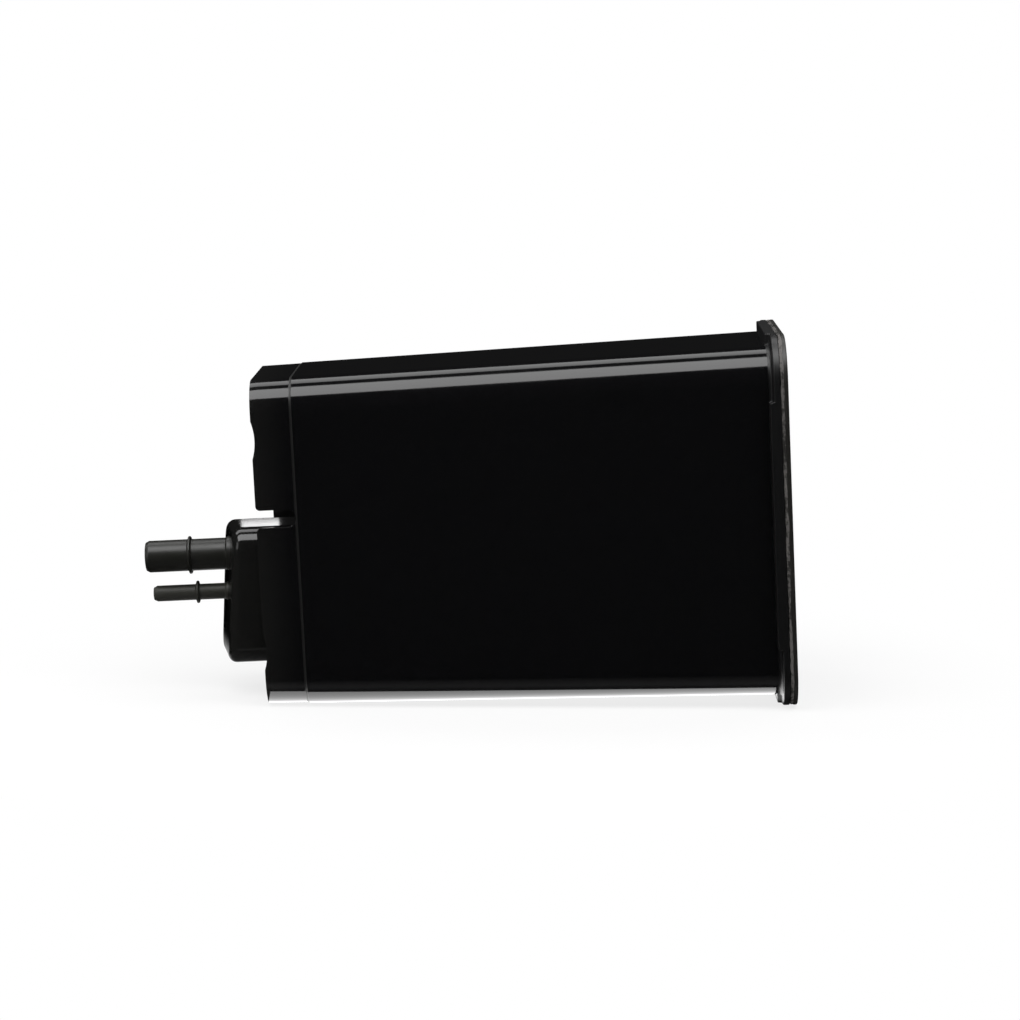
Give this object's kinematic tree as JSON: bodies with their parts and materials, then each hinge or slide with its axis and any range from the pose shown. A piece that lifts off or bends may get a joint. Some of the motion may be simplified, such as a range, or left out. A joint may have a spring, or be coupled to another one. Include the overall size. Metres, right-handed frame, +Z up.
{
  "type": "charcoal canister",
  "caption": "Fuel vapour canister: drafted black moulded box with carbon chambers, a port dome with hose spigots at one end and a welded flanged cover at the other.",
  "frame": {"origin": "under the middle of the part's box, level with the lower edge of the flange and cover", "axes": "+X along the canister from the spigots to the cover, +Y from the front side to the rear side, +Z up, across the two chambers"},
  "size_m": [0.3182, 0.1134, 0.1815],
  "materials": {
    "housing_nylon": "polished mould, gloss black",
    "cover_nylon": "moulded, satin black",
    "carbon": "packed granules, dull black",
    "fleece": "needled polyester fleece",
    "plate_nylon": "moulded, dull dark grey",
    "spring_steel": "drawn wire"
  },
  "bodies": {
    "root": {"housing": "housing_nylon", "end_cover": "cover_nylon", "tank_carbon_bed": "carbon", "vent_carbon_bed": "carbon", "tank_deck_fleece": "fleece", "vent_deck_fleece": "fleece", "tank_plate_fleece": "fleece", "vent_plate_fleece": "fleece", "tank_retainer_plate": "plate_nylon", "vent_retainer_plate": "plate_nylon", "tank_spring_front": "spring_steel", "tank_spring_rear": "spring_steel", "vent_spring_front": "spring_steel", "vent_spring_rear": "spring_steel"}
  },
  "joints": []
}
